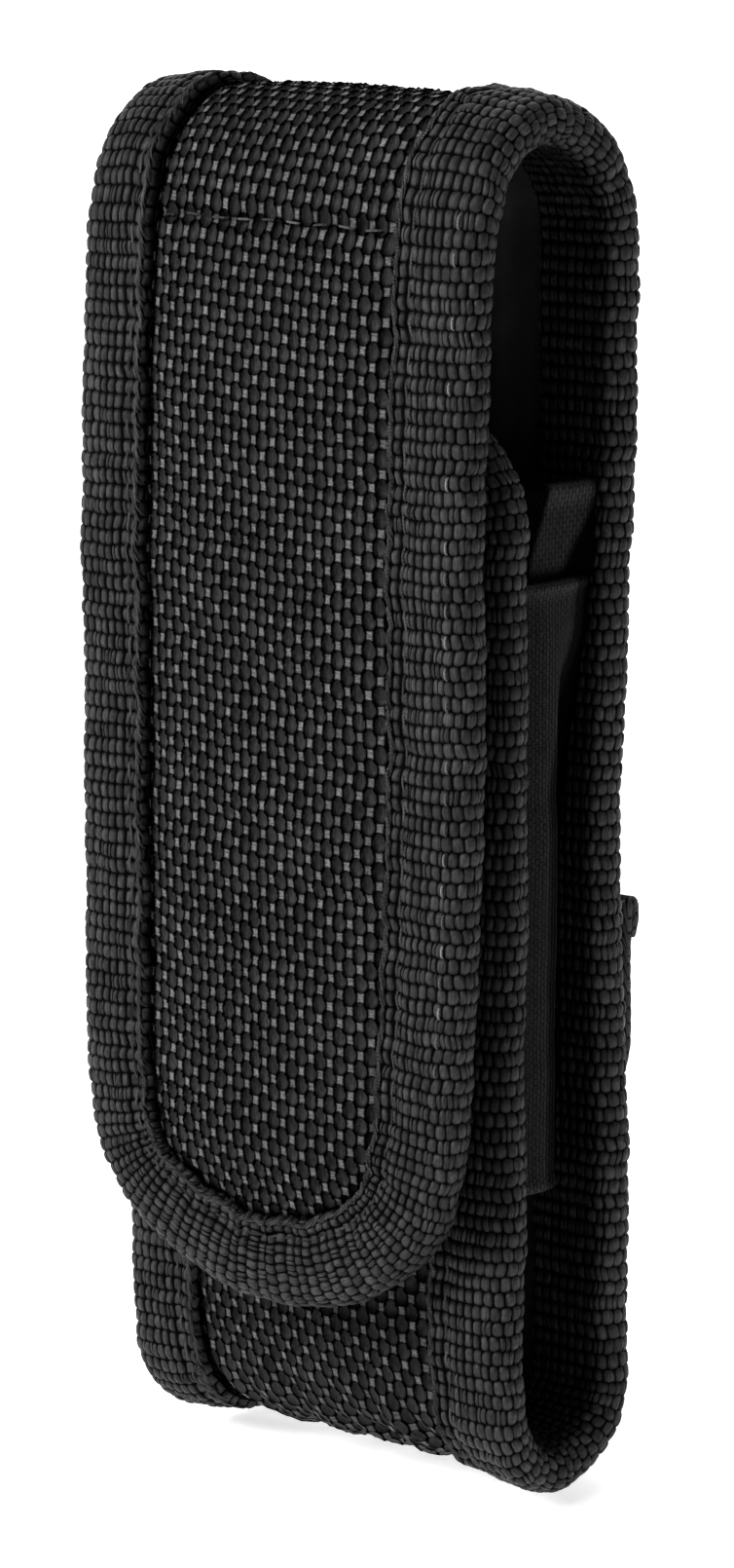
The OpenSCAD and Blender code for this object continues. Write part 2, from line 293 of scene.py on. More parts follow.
def grid_faces(n, m, keep=None, flip=False):
    """Quads of an n by m grid, leaving out any with a corner where keep is false."""
    i, j = np.meshgrid(np.arange(n - 1), np.arange(m - 1), indexing="ij")
    a = (i * m + j).ravel()
    q = np.stack([a, a + 1, a + m + 1, a + m], 1)
    if keep is not None:
        q = q[keep.ravel()[q].all(1)]
    return q[:, ::-1] if flip else q


def drop_loose(verts, faces, values):
    """Leaves out the points that no face uses."""
    used = np.zeros(len(verts), bool)
    used[faces.ravel()] = True
    index = np.cumsum(used) - 1
    return verts[used], index[faces], values[used]


def normals(pts):
    du = np.gradient(pts, axis=0)
    dv = np.gradient(pts, axis=1)
    n = np.cross(dv, du)
    return n / np.maximum(np.linalg.norm(n, axis=-1, keepdims=True), 1e-9)


def grid_object(name, pts, wv, keep=None, flip=False):
    faces = grid_faces(*pts.shape[:2], keep, flip)
    verts, wv = pts.reshape(-1, 3), wv.reshape(-1, 3)
    if keep is not None:
        verts, faces, wv = drop_loose(verts, faces, wv)
    return mesh_object(name, verts, faces, wv)


def set_wrap(ob, wrap):
    """Marks where a woven band turns over an edge, where its floats close up."""
    attribute = ob.data.attributes.new("wrap", "FLOAT", "POINT")
    attribute.data.foreach_set("value", np.asarray(wrap, np.float32).ravel())


def tubes(name, lines, radius, sides):
    """Round threads along the given lines, tapered shut at both ends."""
    verts, faces, wv, base = [], [], [], 0
    ring = np.linspace(0, 2 * PI, sides, endpoint=False)
    for k, line in enumerate(lines):
        line = np.asarray(line, float)
        n = len(line)
        d = np.gradient(line, axis=0)
        d /= np.maximum(np.linalg.norm(d, axis=1, keepdims=True), 1e-9)
        ref = np.where(np.abs(d[:, :1]) > 0.9, [[0, 0, 1.0]], [[1.0, 0, 0]])
        a = np.cross(d, ref)
        a /= np.linalg.norm(a, axis=1, keepdims=True)
        b = np.cross(d, a)
        r = radius(k) if callable(radius) else radius
        s = np.linspace(0, 1, n)
        taper = np.clip(np.minimum(s, 1 - s) * n / 1.4, 0.12, 1) ** 0.5
        pts = line[:, None] + r * taper[:, None, None] * (
            np.cos(ring)[None, :, None] * a[:, None] + np.sin(ring)[None, :, None] * b[:, None])
        verts.append(pts.reshape(-1, 3))
        w = np.stack(np.broadcast_arrays(lengths(line)[:, None], ring[None, :] / (2 * PI),
                                         np.full((1, 1), float(k % 97))), -1)
        wv.append(w.reshape(-1, 3))
        i, j = np.meshgrid(np.arange(n - 1), np.arange(sides), indexing="ij")
        j2 = (j + 1) % sides
        faces.append(base + np.stack([i * sides + j, i * sides + j2, (i + 1) * sides + j2,
                                      (i + 1) * sides + j], -1).reshape(-1, 4))
        base += n * sides
    return mesh_object(name, np.vstack(verts), np.vstack(faces), np.vstack(wv))


def finish_piece(ob, material, holder, replaces=()):
    """Gives a piece its material, hides the parts it stands in for, and parents it to the body it rides on; a
    piece between two bodies only has its place baked in.
    """
    ob.data.materials.append(material)
    if replaces:
        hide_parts(*replaces)
    if isinstance(holder, str):
        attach(ob, holder)
    else:
        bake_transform(ob)


# ---- materials
class Nodes:
    """Short way to write a node tree."""

    def __init__(self, name):
        self.mat = bpy.data.materials.new(name)
        self.mat.use_nodes = True
        self.tree = self.mat.node_tree
        self.bsdf = self.tree.nodes["Principled BSDF"]

    def new(self, kind, inputs, **settings):
        """Adds a node with its settings, and a value or a link for each of the inputs."""
        node = self.tree.nodes.new(kind)
        for key, value in settings.items():
            setattr(node, key, value)
        for key, value in inputs.items():
            self.put(value, node.inputs[key])
        return node

    def put(self, value, socket):
        if hasattr(value, "is_linked"):
            self.tree.links.new(value, socket)
        else:
            socket.default_value = value

    def math(self, op, *values):
        return self.new("ShaderNodeMath", dict(enumerate(values)), operation=op).outputs[0]

    def attribute(self, name, output):
        node = self.new("ShaderNodeAttribute", {}, attribute_type="GEOMETRY", attribute_name=name)
        return node.outputs[output]

    def wv(self):
        """Column, row and painted light value that the mesh carries; where it is low, shade is painted."""
        return self.new("ShaderNodeSeparateXYZ", {0: self.attribute("wv", "Vector")}).outputs

    def vec(self, x, y, z=0.0):
        return self.new("ShaderNodeCombineXYZ", {0: x, 1: y, 2: z}).outputs[0]

    def noise(self, vector, scale, detail, rough):
        settings = {"Vector": vector, "Scale": scale, "Detail": detail, "Roughness": rough}
        return self.new("ShaderNodeTexNoise", settings).outputs[0]

    def random(self, vector):
        return self.new("ShaderNodeTexWhiteNoise", {"Vector": vector}).outputs[0]

    def mix(self, factor, a, b):
        a, b = [c if hasattr(c, "is_linked") else (*c, 1.0) for c in (a, b)]
        return self.new("ShaderNodeMix", {0: factor, 6: a, 7: b}, data_type="RGBA").outputs[2]

    def away(self, f):
        """Distance from the middle of a cell, 0 to 1."""
        return self.absolute(self.madd(f, 2.0, -1.0))

    def rounded(self, far):
        """Round section of a float whose outline is at far = 1."""
        return self.math("SQRT", self.math("MAXIMUM", self.sub(1.0, far), 0.0))

    def ramp(self, value, low, high, out_low=0.0, out_high=1.0):
        inputs = dict(enumerate((value, low, high, out_low, out_high)))
        return self.new("ShaderNodeMapRange", inputs, clamp=True).outputs[0]

    def bump(self, height, distance, strength):
        node = self.new("ShaderNodeBump", {"Strength": strength, "Distance": distance, "Height": height})
        self.put(node.outputs[0], self.bsdf.inputs["Normal"])

    def surface(self, colour, roughness):
        self.put(colour, self.bsdf.inputs["Base Color"])
        self.put(roughness, self.bsdf.inputs["Roughness"])
        return self.mat


for word, op in (("mul", "MULTIPLY"), ("madd", "MULTIPLY_ADD"), ("add", "ADD"), ("sub", "SUBTRACT"),
                 ("div", "DIVIDE"), ("power", "POWER"), ("floor", "FLOOR"), ("fract", "FRACT"),
                 ("absolute", "ABSOLUTE"), ("sine", "SINE"), ("cosine", "COSINE")):
    setattr(Nodes, word, partialmethod(Nodes.math, op))

FLOAT_Y = 0.71      # half length of a warp float, in weft rows
BULGE = 0.13        # how far a warp float crowds into its neighbours' columns
EGG = 0.13          # how much a warp float narrows to one end
WIDE = 1.03         # its width in columns
ACROSS_POWER, ALONG_POWER = 2.3, 2.5        # roundness of its outline


def dome(n, f, power):
    return n.sub(1.0, n.power(n.away(f), power))


def shaded(n, colour, grey, level):
    """Paints shade into colour and gloss together, as in the gaps between yarns."""
    n.put(n.mul(grey, level), n.bsdf.inputs["Specular IOR Level"])
    inputs = {0: 1.0, 6: colour, 7: n.vec(grey, grey, grey)}
    return n.new("ShaderNodeMix", inputs, data_type="RGBA", blend_type="MULTIPLY").outputs[2]


def tones(base, low, high):
    return tuple(low * k for k in base), tuple(high * k for k in base)


def cloth_material(name, dark, painted_light):
    """Plain weave of flat filament yarns: dark oval warp floats with small weft floats between, painted
    lighter to stand for their highlight.
    """
    n = Nodes(name)
    x, y, painted_open_to_light = n.wv()
    sign = n.cosine(n.mul(n.floor(x), PI))
    row = n.mul(y, PI)
    along = n.div(n.math("ARCCOSINE", n.mul(n.sine(row), sign)), PI)
    across = n.madd(n.fract(x), 2.0, -1.0)
    below = n.mul(n.cosine(row), sign)
    egg = n.absolute(n.mul(across, n.madd(below, -EGG, WIDE)))
    far = n.add(n.power(egg, ACROSS_POWER), n.power(n.div(along, FLOAT_Y), ALONG_POWER))
    over = n.ramp(far, 0.99, 1.03, 1.0, 0.0)
    low = n.sub(1.0, over)
    # the weft shows as a small square beside the middle of its column, set off to one side where the next
    # float's painted shadow covers it
    up = n.absolute(n.sub(1.0, along))
    aside = n.absolute(n.sub(across, 0.16))
    warp_fibre = n.noise(n.vec(n.mul(x, 7.0), n.mul(y, 1.2)), 1.0, 3.0, 0.7)
    weft_fibre = n.noise(n.vec(n.mul(x, 1.6), n.mul(y, 9.0), 5.0), 1.0, 3.0, 0.7)
    patchy = n.noise(n.vec(x, y, 2.0), 0.13, 3.0, 0.6)
    rand = n.random(n.vec(n.floor(x), n.floor(y)))
    gain = n.mul(n.ramp(rand, 0, 1, 0.75, 1.25), n.ramp(patchy, 0.3, 0.7, 0.85, 1.15))
    warp_c = n.mix(n.ramp(warp_fibre, 0.40, 0.60), *tones(dark, 0.12, 2.3))
    # the weft's lighter colour is a painted highlight
    weft_c = n.mix(n.ramp(weft_fibre, 0.36, 0.66), *tones(painted_light, 0.25, 1.5))
    # painted shade: each float darkens towards its outline and the gaps between yarns go near black; grey
    # also carries the random tone and the mesh's painted shade
    warp_s = n.ramp(far, 0.45, 1.0, 1.0, 0.04)
    weft_s = n.mul(n.ramp(up, 0.21, 0.35, 1.0, 0.01), n.ramp(aside, 0.48, 0.78, 1.0, 0.02))
    shade = n.madd(warp_s, over, n.mul(weft_s, low))
    grey = n.mul(n.mul(gain, shade), painted_open_to_light)
    fibre = n.madd(warp_fibre, over, n.mul(weft_fibre, low))
    height = n.madd(n.rounded(far), 0.42, n.mul(over, 0.12))
    n.bump(n.madd(fibre, 0.16, height), 0.0007, 0.8)
    return n.surface(shaded(n, n.mix(over, weft_c, warp_c), grey, 0.15), n.ramp(fibre, 0.3, 0.7, 0.70, 0.54))


def tape_material(name, base, level):
    """Ribbed webbing: each rib is a row of short floats with grooves between them."""
    n = Nodes(name)
    c, r, painted_open_to_light = n.wv()
    wrap = n.attribute("wrap", "Fac")
    # round the rim the floats of every other rib are set half a float across
    c = n.madd(n.fract(n.mul(n.floor(r), 0.5)), wrap, c)
    column, rib = n.floor(c), n.floor(r)
    # some floats part into two thinner ones
    parted = n.ramp(n.random(n.vec(column, rib)), 0.15, 0.16, 1.0, 0.0)
    fc = n.fract(n.mul(n.fract(c), n.add(parted, 1.0)))
    wide = n.madd(wrap, 0.12, n.ramp(n.random(n.vec(rib, column)), 0, 1, 0.72, 0.90))
    tall = n.madd(wrap, 0.09, 0.89)
    far = n.add(n.power(n.div(n.away(fc), wide), 3.2),
                n.power(n.div(n.away(n.fract(r)), tall), 3.2))
    fibre = n.noise(n.vec(n.mul(c, 7.0), n.mul(r, 1.2)), 1.0, 4.0, 0.75)
    patchy = n.noise(n.vec(c, r, 1.0), 0.11, 3.0, 0.6)
    # painted shade in the gaps between floats, times random tone and the mesh's painted shade
    shade = n.ramp(far, 0.55, 1.25, 1.0, 0.05)
    rand = n.random(n.vec(rib, column, 4.0))
    gain = n.mul(n.ramp(rand, 0, 1, 0.7, 1.3), n.ramp(patchy, 0.3, 0.7, 0.8, 1.15))
    grey = n.mul(n.mul(shade, gain), painted_open_to_light)
    # fibre streaks in the colour: partly the yarn's grain, partly painted sheen
    colour = n.mix(n.ramp(fibre, 0.40, 0.62), *tones(base, 0.15, 2.1))
    n.bump(n.madd(n.rounded(far), 0.42, n.mul(fibre, 0.16)), 0.0008, 0.75)
    return n.surface(shaded(n, colour, grey, level), n.ramp(fibre, 0.3, 0.7, 0.65, 0.45))


def elastic_material(name, base):
    """Narrow elastic: fine cords side by side, crossed by finer rows."""
    n = Nodes(name)
    c, r, painted_open_to_light = n.wv()
    cord = dome(n, n.fract(c), 2.0)
    row = dome(n, n.fract(n.madd(n.floor(c), 0.5, r)), 2.4)
    fibre = n.noise(n.vec(n.mul(c, 1.3), n.mul(r, 0.7)), 1.0, 4.0, 0.7)
    height = n.add(n.mul(cord, 0.11), n.mul(row, 0.05))
    n.bump(n.add(height, n.mul(fibre, 0.1)), 0.0006, 0.9)
    # painted shade between the cords and along the rows, times the fibre's tone and the mesh's painted shade
    shade = n.mul(n.ramp(cord, 0.0, 0.8, 0.45, 1.0), n.ramp(row, 0.0, 0.7, 0.35, 1.0))
    grey = n.mul(n.mul(shade, n.ramp(fibre, 0.3, 0.7, 0.55, 1.4)), painted_open_to_light)
    return n.surface(shaded(n, (*base, 1.0), grey, 0.22), 0.6)


def lining_material(name, base):
    """Coated cloth: a very fine weave under a cloudy matt coat."""
    n = Nodes(name)
    x, y, painted_open_to_light = n.wv()
    fine = 2 * PI * 2.2
    weave = n.mul(n.sine(n.mul(x, fine)), n.sine(n.mul(y, fine)))
    cloud = n.noise(n.vec(x, y, 3.0), 0.25, 4.0, 0.6)
    n.bump(n.add(n.mul(weave, 0.03), n.mul(cloud, 0.5)), 0.0008, 0.5)
    colour = n.mix(n.ramp(cloud, 0.3, 0.7), *tones(base, 0.7, 1.4))
    return n.surface(shaded(n, colour, painted_open_to_light, 0.18), n.ramp(cloud, 0.3, 0.7, 0.55, 0.7))


def thread_material(name, base, level=0.3):
    """Twisted thread, each one a little lighter or darker than the next."""
    n = Nodes(name)
    s, a, k = n.wv()
    twist = n.sine(n.mul(n.add(a, n.mul(s, 1.6)), 4 * PI))
    n.bump(twist, 0.0001, 0.6)
    gain = n.ramp(n.random(n.vec(k, 0.5)), 0, 1, 0.35, 1.6)
    colour = n.mix(n.ramp(twist, -1, 1), *tones(base, 0.5, 1.3))
    return n.surface(shaded(n, colour, gain, level), n.ramp(twist, -1, 1, 0.55, 0.42))


# the weave's second colour is the weft's painted highlight
CLOTH = cloth_material("ballistic_weave", (0.0045, 0.0045, 0.0048), (0.072, 0.072, 0.074))
TAPE = tape_material("binding_tape", (0.0115, 0.0115, 0.0122), 0.22)
WEBBING = tape_material("belt_webbing", (0.0095, 0.0095, 0.0102), 0.30)
ELASTIC = elastic_material("elastic_band", (0.0060, 0.0060, 0.0064))
LINING = lining_material("coated_lining", (0.0022, 0.0022, 0.0024))
THREAD = thread_material("sewing_thread", (0.045, 0.045, 0.047))
STRAND = thread_material("selvedge_thread", (0.022, 0.022, 0.023))
TIE = thread_material("tie_thread", (0.10, 0.10, 0.102))
PILE = thread_material("loop_pile", (0.0085, 0.0085, 0.009), 0.15)
HOOKS = thread_material("moulded_hooks", (0.011, 0.011, 0.012), 0.4)

# ---- binding tape
# Half section of the folded tape from its edge on the outer face, round the rim, to the inner edge.
ARC = np.linspace(PI / 2, -PI / 2, 25)
SECTION = resample(np.vstack([
    [(FACE + 0.12, CORE - 0.25), (FACE + 0.16, CORE + 0.15), (FACE + 0.05, RIM - 0.16), (FACE - 0.28, RIM)],
    [(k, RIM) for k in np.linspace(FACE - 0.8, RIM + 0.6, 12)],
    np.stack([RIM - RIM * np.cos(ARC), RIM * np.sin(ARC)], 1),
    [(k, -RIM) for k in np.linspace(RIM + 0.6, FACE - 0.6, 12)],
    [(FACE - 0.1, -RIM), (FACE, -RIM + 0.4), (FACE + 0.1, -CORE + 0.1)],
]), 0.02)
SECTION_W = np.arange(len(SECTION)) * 0.02
SECTION_LEN = SECTION_W[-1]
OUTER_TURN = FACE - RIM + 1.0          # w where the outer face meets the rim's round
RIM_MID = OUTER_TURN + PI * RIM / 2


def column_width(w):
    """Width of the floats across the tape: narrow on the faces, wide on the rim."""
    return 0.92 + 0.36 * bell(w, RIM_MID, 3.4)


W_FINE = np.linspace(0, SECTION_LEN, 2000)
COLUMN_C = np.concatenate([[0], np.cumsum(0.5 * (1 / column_width(W_FINE[1:]) + 1 / column_width(W_FINE[:-1]))
                                          * np.diff(W_FINE))])
TAPE_SEED = 21
TAPE_STEP = 0.23        # spacing of points across the tape
PER_RIB = 6             # points along each rib's pitch
SEAM_U = FACE - 2.2     # where the seam runs, inward from the rim
FLOAT_HIGH = 0.20       # how high a float stands over the gaps


def groove_width(facing, p):
    """Groove beside the cloth: open on the flap's left, nearly shut on its right and on the pocket."""
    return (0.48 + 0.22 * facing) * (1 - 0.4 * step(p, P_BEND, P_BEND + 8))


def tape_shape(t, p, u0, v0, groove):
    """Where a point of the tape's section goes once the tape is sewn down and pulled round."""
    outer = v0 > 0
    on_face = step(u0, RIM + 0.5, FACE - 1) * outer
    arched = between(p, P_ARCH - 4, P_ARCH + 8, P_BACK - 8, P_BACK + 3)
    bent = between(p, P_BEND - 6, P_BEND + 4, P_POCKET - 2, P_POCKET + 10)
    u = u0 + on_face * (0.22 * wave(t, TAPE_SEED, 9) + 0.10 * wave(t, TAPE_SEED + 1, 3.1))
    v = v0 + on_face * (0.10 * wave(t, TAPE_SEED + 2, 6.3) + 0.55 * arched + 0.25 * bent)
    # the seam pulls a shallow channel along the face, and the face is full between seam and rim
    v = v + outer * (0.24 * bell(u0, 4.6, 1.7) - 0.28 * bell(u0, SEAM_U, 0.5))
    # the tape's edge is pressed down beside the cloth
    v = v - 0.60 * step(u0, FACE - 0.1 - 1.05 * groove, FACE + 0.1 - 0.8 * groove) * outer
    return u, v


def tape_piece(t0, t1, inside_seen=False, turn_in=3.0, covered=False):
    """One length of binding: its points, its weave and painted light values, and how far it wraps the rim."""
    t, rim, inward = rim_run(t0, t1, PER_RIB)
    # the face that is seen gets the closer points
    turn = OUTER_TURN + PI * RIM * (1.0 if inside_seen else 0.8)
    front, behind = (1.5, 1.0) if inside_seen else (1.0, 1.7)
    w = np.concatenate([np.arange(0, turn, TAPE_STEP * front),
                        np.linspace(turn, SECTION_LEN, int((SECTION_LEN - turn) / (TAPE_STEP * behind)))])
    u0 = np.interp(w, SECTION_W, SECTION[:, 0])[None]
    v0 = np.interp(w, SECTION_W, SECTION[:, 1])[None]
    tt, ww, p = t[:, None], w[None], rim[:, 1:]
    groove = groove_width(inward[:, :1], p)
    u, v = tape_shape(tt, p, u0, v0, groove)
    # the thread draws the rim into slow scallops
    scallop = 0.14 * wave(tt, TAPE_SEED + 3, 7.5) + 0.10 * wave(tt, TAPE_SEED + 4, 21)
    u = u + bell(ww, RIM_MID, 4.0) * scallop
    base = strip(rim[:, :1] + inward[:, :1] * u, p + inward[:, 1:] * u, v)
    # ribs and floats; round the rim every other rib is set half a float across
    r = tt / RIB + 0.05 * wave(ww + 0.3 * tt, TAPE_SEED + 5, 5)
    wrap = bell(ww, RIM_MID, 5.0)
    c = np.interp(w, W_FINE, COLUMN_C)[None] + 0.10 * wave(tt, TAPE_SEED + 6, 4.0)
    row = np.floor(r)
    shifted = c + 0.5 * wrap * (row % 2)
    fr, fc = 2 * (r - row) - 1, 2 * (shifted - np.floor(shifted)) - 1
    far = (np.abs(fc) / (0.84 + 0.12 * wrap)) ** 3 + (np.abs(fr) / (0.90 + 0.08 * wrap)) ** 3
    size = 0.8 + 0.4 * hash01(row, np.floor(shifted), TAPE_SEED)
    floats = (FLOAT_HIGH + 0.02 * wrap) * np.sqrt(np.clip(1 - far, 0, 1)) * size
    ribs = 0.07 * (1 - wrap) * (1 - np.abs(fr) ** 2.8)
    flat = 0.2 + 0.8 * step(ww, 0.5 + 1.1 * groove, 1.2 + 1.2 * groove)
    h = (ribs + floats) * flat - FLOAT_HIGH
    pts = base + normals(base) * h[..., None]
    # painted shade: the tape is darkened in its groove and on its inner face
    painted_light = 0.04 + 0.96 * step(ww, 0.35 + 1.35 * groove, 0.75 + 1.35 * groove)
    painted_light = painted_light * (1 - 0.76 * step(ww, RIM_MID + turn_in, RIM_MID + turn_in + 1.8))
    if covered:
        # painted shadow where the flap lies over the pocket's binding
        flap_shadow = step(p - P_POCKET + BEND_Z, 22, 32) * (1 - step(ww, RIM_MID - 2.4, RIM_MID + 0.8))
        painted_light = painted_light * (1 - 0.58 * flap_shadow)
    return pts, np.stack(np.broadcast_arrays(c, r, painted_light), -1), np.broadcast_to(wrap, h.shape)


def add_tape(name, t0, t1, replaces, blend, **how):
    *grid, wrap = tape_piece(t0, t1, **how)
    ob = grid_object(name, *grid)
    set_wrap(ob, wrap)
    finish_piece(ob, TAPE, blend, replaces)


def snap(t):
    return round(t / RIB) * RIB


TOP_R, TOP_L = snap(rim_at(1, P_TOP)), -snap(rim_at(-1, P_TOP))
LOW_R, LOW_L = snap(rim_at(1, P_LOW)), snap(ROUND - rim_at(-1, P_LOW))

SPLIT = 6.0         # half the stretch of strip that bends at a fold
FLAP_BLEND = ("arch", "flap", (0, 0, ARCH_Z + SPLIT), (0, 0, ARCH_Z - SPLIT))
BACK_BLEND = ("back", "arch", (0, 0, ARCH_Z - SPLIT), (0, 0, ARCH_Z + SPLIT))
POCKET_BLEND = ("back", "pocket", (0, 0, BEND_Z - 7), (0, 0, BEND_Z + 9))
SQUEEZE_BLEND = ("back", "pocket", (0, Y_BACK - RIM, 0), (0, Y_POCKET + RIM, 0))

add_tape("binding_flap", TOP_L, TOP_R, ["flap_tape"], FLAP_BLEND)
add_tape("binding_back_right", TOP_R, LOW_R, ["back_tape_right", "arch_tape_right"], BACK_BLEND,
         inside_seen=True, turn_in=1.7)
add_tape("binding_back_left", LOW_L - ROUND, TOP_L, ["back_tape_left", "arch_tape_left"], BACK_BLEND,
         turn_in=1.7)
add_tape("binding_pocket", LOW_R, LOW_L, ["pocket_tape"], POCKET_BLEND, turn_in=0.9, covered=True)


# ---- threads of the binding
LOOP_T, LOOP_P, LOOP_N = rim_run(TOP_L, TOP_L + ROUND * 2, 2)


def on_tape(t, u0, lift):
    """Points just over the tape's outer face, at length t along the rim and u0 inward from it."""
    t, u0, lift = np.broadcast_arrays(np.asarray(t, float), u0, lift)
    rim = np.stack([np.interp(t, LOOP_T, LOOP_P[:, k]) for k in range(2)], -1)
    inward = np.stack([np.interp(t, LOOP_T, LOOP_N[:, k]) for k in range(2)], -1)
    u, v = tape_shape(t, rim[..., 1], u0, np.full(t.shape, RIM), groove_width(inward[..., 0], rim[..., 1]))
    return strip(rim[..., 0] + inward[..., 0] * u, rim[..., 1] + inward[..., 1] * u, v + lift)


def seam_lines(t0, t1, u0, dash=2.2, pitch=2.9, high=0.06):
    """Stitches along the tape's outer face, sunk into it at both ends."""
    n = int((t1 - t0 - 1.0) / pitch)
    start = t0 + ((t1 - t0) - (n - 1) * pitch) / 2
    s = np.linspace(-0.5, 0.5, 8)
    out = []
    for k in range(n):
        mid = start + k * pitch + 0.15 * (hash01(k, 3) - 0.5)
        lift = high - (0.30 + high) * np.abs(2 * s) ** 4
        out.append(on_tape(mid + dash * s, u0 + 0.18 * (hash01(k, 5) - 0.5) + 0.05 * s, lift))
    return out


def selvedge_lines(t0, t1, seed):
    """Bundles of fine loops that slant over the tape's inner edge."""
    r = np.random.default_rng(seed)
    out = []
    s = np.linspace(0, 1, 9)
    for t in np.arange(t0 + 0.5, t1 - 3.4, RIB * 0.36):
        long, reach = r.uniform(1.4, 2.4), r.uniform(0.30, 0.55)
        groove = groove_width(np.interp(t, LOOP_T, LOOP_N[:, 0]), np.interp(t, LOOP_T, LOOP_P[:, 1]))
        start = FACE - 0.45 - 1.15 * groove
        for _ in range(3):
            if r.random() < 0.15:
                continue
            at = t + r.uniform(-0.2, 0.2)
            u = start + r.uniform(-0.12, 0.12) + reach * s ** 1.2 + 0.05 * np.sin(r.uniform(0, 6) + 5 * s)
            lift = r.uniform(0.02, 0.12) * np.sin(PI * s) - 0.9 * np.maximum(s - 0.8, 0)
            out.append(on_tape(at + long * s, u, lift))
    return out


def add_lines(name, lines, radius, material, holder, replaces=(), sides=6):
    finish_piece(tubes(name, lines, radius, sides), material, holder, replaces)


def strand_radius(k):
    return 0.05 + 0.04 * float(hash01(k, 9))


for tag, a, b, blend, nodes in (
    ("flap", TOP_L, TOP_R, FLAP_BLEND, ["flap_stitches", "arch_stitches"]),
    ("back_right", TOP_R, LOW_R, BACK_BLEND, ["back_stitches"]),
    ("back_left", LOW_L - ROUND, TOP_L, BACK_BLEND, []),
    ("pocket", LOW_R, LOW_L, POCKET_BLEND, ["pocket_stitches"]),
):
    if a < TOP_L:
        a, b = a + ROUND, b + ROUND
    add_lines("seam_" + tag, seam_lines(a, b, SEAM_U), 0.13, STRAND, blend, nodes)
    add_lines("selvedge_" + tag, selvedge_lines(a, b, 7), strand_radius, STRAND, blend, sides=4)


TIE_FROM = 30       # length along the rim where the straight side begins


def tie_lines():
    """Bright tie threads that show beside the flap's right rim, one at every second rib."""
    lines = seam_lines(TIE_FROM, TOP_R - 12, RIM - 0.3, 1.3, 2 * RIB, 0.09)
    return [line for k, line in enumerate(lines) if hash01(k, 8) > 0.15]


add_lines("tie_flap", tie_lines(), 0.11, TIE, FLAP_BLEND, sides=5)


# ---- cloth panels
TIP_END = 62        # station from which the flap's sides are taken as straight


def rim_distance(x, p):
    """Distance from a point of the flat strip to its rim."""
    d = HALF_W - np.abs(x)
    for low, high in ((0, TIP_END), (P_MOUTH - 30, P_MOUTH + 1)):
        here = (p > low) & (p < high)
        if not here.any():
            continue
        q = np.vstack([RIMS[1][::8], RIMS[-1][::8]])
        q = q[(q[:, 1] > low - 15) & (q[:, 1] < high + 15)]
        a = np.stack([x[here], p[here]], 1)
        best = np.full(len(a), 1e9)
        for part in np.array_split(np.arange(len(a)), max(1, len(a) // 4000)):
            dd = np.linalg.norm(a[part][:, None] - q[None], axis=2)
            best[part] = dd.min(1)
        d[here] = best
    return d


FOLD_P = P_ARCH + 1.75      # station of the stitched fold
SIM_SCALE = 10              # the panel is simulated this many times full size
SIM_FRAMES = 24
CROWN_HIGH, CROWN_MOST = 0.95, 1.3
LAP = 2.6                   # how far the cloth and lining run on under the tape


def filled_crown():
    """How far the padding lifts the sewn-down cloth: a cloth simulation of the flat panel."""
    gap = 1.5
    x = np.arange(-14, 15) * gap * (HALF_W - FACE + 1.0) / 21.0
    p = np.arange(TIP + 4, P_MOUTH - 4, gap)
    pp, xx = np.meshgrid(p, x, indexing="ij")
    d = rim_distance(xx, pp)
    keep = d > FACE - 1.0
    verts, faces, ids = drop_loose(np.stack([xx, 0 * xx, pp], -1).reshape(-1, 3) * SIM_SCALE,
                                   grid_faces(len(p), len(x), keep), np.arange(xx.size)[:, None])
    ob = mesh_object("panel_sim", verts, faces)
    ids = ids.ravel()
    sewn = (d < FACE + 0.9) | (np.abs(pp - FOLD_P) < 0.8)
    group = ob.vertex_groups.new(name="sewn")
    group.add([int(k) for k in np.nonzero(sewn.ravel()[ids])[0]], 1.0, "REPLACE")
    cloth = ob.modifiers.new("cloth", "CLOTH").settings
    cloth.quality, cloth.mass, cloth.air_damping = 6, 0.2, 2.0
    cloth.tension_stiffness = cloth.compression_stiffness = 12
    cloth.shear_stiffness, cloth.bending_stiffness = 4, 0.8
    cloth.vertex_group_mass = "sewn"
    cloth.shrink_min = -0.012
    cloth.use_pressure, cloth.uniform_pressure_force = True, 4
    cloth.effector_weights.gravity = 0
    scene = bpy.context.scene
    for frame_number in range(1, SIM_FRAMES + 1):
        scene.frame_set(frame_number)
    me = ob.evaluated_get(bpy.context.evaluated_depsgraph_get()).data
    co = np.zeros(len(verts) * 3)
    me.vertices.foreach_get("co", co)
    rise = np.zeros(xx.size)
    rise[ids] = np.abs(co.reshape(-1, 3)[:, 1]) * 1000 / SIM_SCALE
    rise *= CROWN_HIGH / max(np.percentile(rise[ids], 97), 0.05)
    bpy.data.objects.remove(ob)
    scene.frame_set(1)
    return x, p, np.clip(rise, 0, CROWN_MOST).reshape(xx.shape).round(3)


CROWN = filled_crown()


def crown(x, p, inside):
    if CROWN is None:
        return 0.62 * (1 - np.exp(-inside / 6.0)) * (1 - (x / 24) ** 2)
    gx, gp, rise = CROWN
    i = np.clip((x - gx[0]) / (gx[1] - gx[0]), 0, len(gx) - 1.001)
    j = np.clip((p - gp[0]) / (gp[1] - gp[0]), 0, len(gp) - 1.001)
    i0, j0 = i.astype(int), j.astype(int)
    a, b = step(i - i0, 0, 1), step(j - j0, 0, 1)
    return (1 - b) * ((1 - a) * rise[j0, i0] + a * rise[j0, i0 + 1]) + b * (
        (1 - a) * rise[j0 + 1, i0] + a * rise[j0 + 1, i0 + 1])


